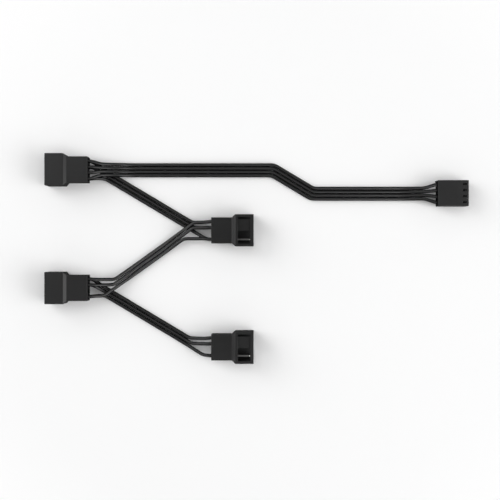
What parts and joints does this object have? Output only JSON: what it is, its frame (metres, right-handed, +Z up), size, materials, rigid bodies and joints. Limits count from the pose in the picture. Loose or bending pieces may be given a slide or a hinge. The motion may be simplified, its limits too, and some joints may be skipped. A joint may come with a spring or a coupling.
{
  "type": "fan splitter cable",
  "caption": "Flat-lying daisy-chain fan splitter lead: a ribbon of black wires runs from a socket plug to a chain of keyed pin connectors.",
  "frame": {"origin": "on the surface that the cable lies on, under the middle of the connectors' outline", "axes": "+X from the left pin connectors' mouths towards the socket plug, +Y towards connector 1, +Z up"},
  "size_m": [0.1774, 0.0878, 0.0078],
  "materials": {
    "housing_plastic": "moulded black nylon, fine satin surface",
    "wire_insulation": "extruded black insulation with a soft sheen",
    "terminal_metal": "tin plated, half bright"
  },
  "bodies": {
    "root": {"connector_1_housing": "housing_plastic", "connector_2_housing": "housing_plastic", "connector_3_housing": "housing_plastic", "connector_4_housing": "housing_plastic", "socket_plug_housing": "housing_plastic", "connector_1_terminal_1": "terminal_metal", "connector_1_terminal_2": "terminal_metal", "connector_1_terminal_3": "terminal_metal", "connector_1_terminal_4": "terminal_metal", "connector_2_terminal_1": "terminal_metal", "connector_2_terminal_2": "terminal_metal", "connector_2_terminal_4": "terminal_metal", "connector_3_terminal_1": "terminal_metal", "connector_3_terminal_2": "terminal_metal", "connector_3_terminal_4": "terminal_metal", "connector_4_terminal_1": "terminal_metal", "connector_4_terminal_2": "terminal_metal", "connector_4_terminal_4": "terminal_metal", "socket_plug_terminal_1": "terminal_metal", "socket_plug_terminal_2": "terminal_metal", "socket_plug_terminal_3": "terminal_metal", "socket_plug_terminal_4": "terminal_metal", "trunk_wire_1": "wire_insulation", "trunk_wire_2": "wire_insulation", "trunk_wire_3": "wire_insulation", "trunk_wire_4": "wire_insulation", "link_1_wire_1": "wire_insulation", "link_1_wire_2": "wire_insulation", "link_1_wire_4": "wire_insulation", "link_2_wire_1": "wire_insulation", "link_2_wire_2": "wire_insulation", "link_2_wire_4": "wire_insulation", "link_3_wire_1": "wire_insulation", "link_3_wire_2": "wire_insulation", "link_3_wire_4": "wire_insulation"}
  },
  "joints": []
}
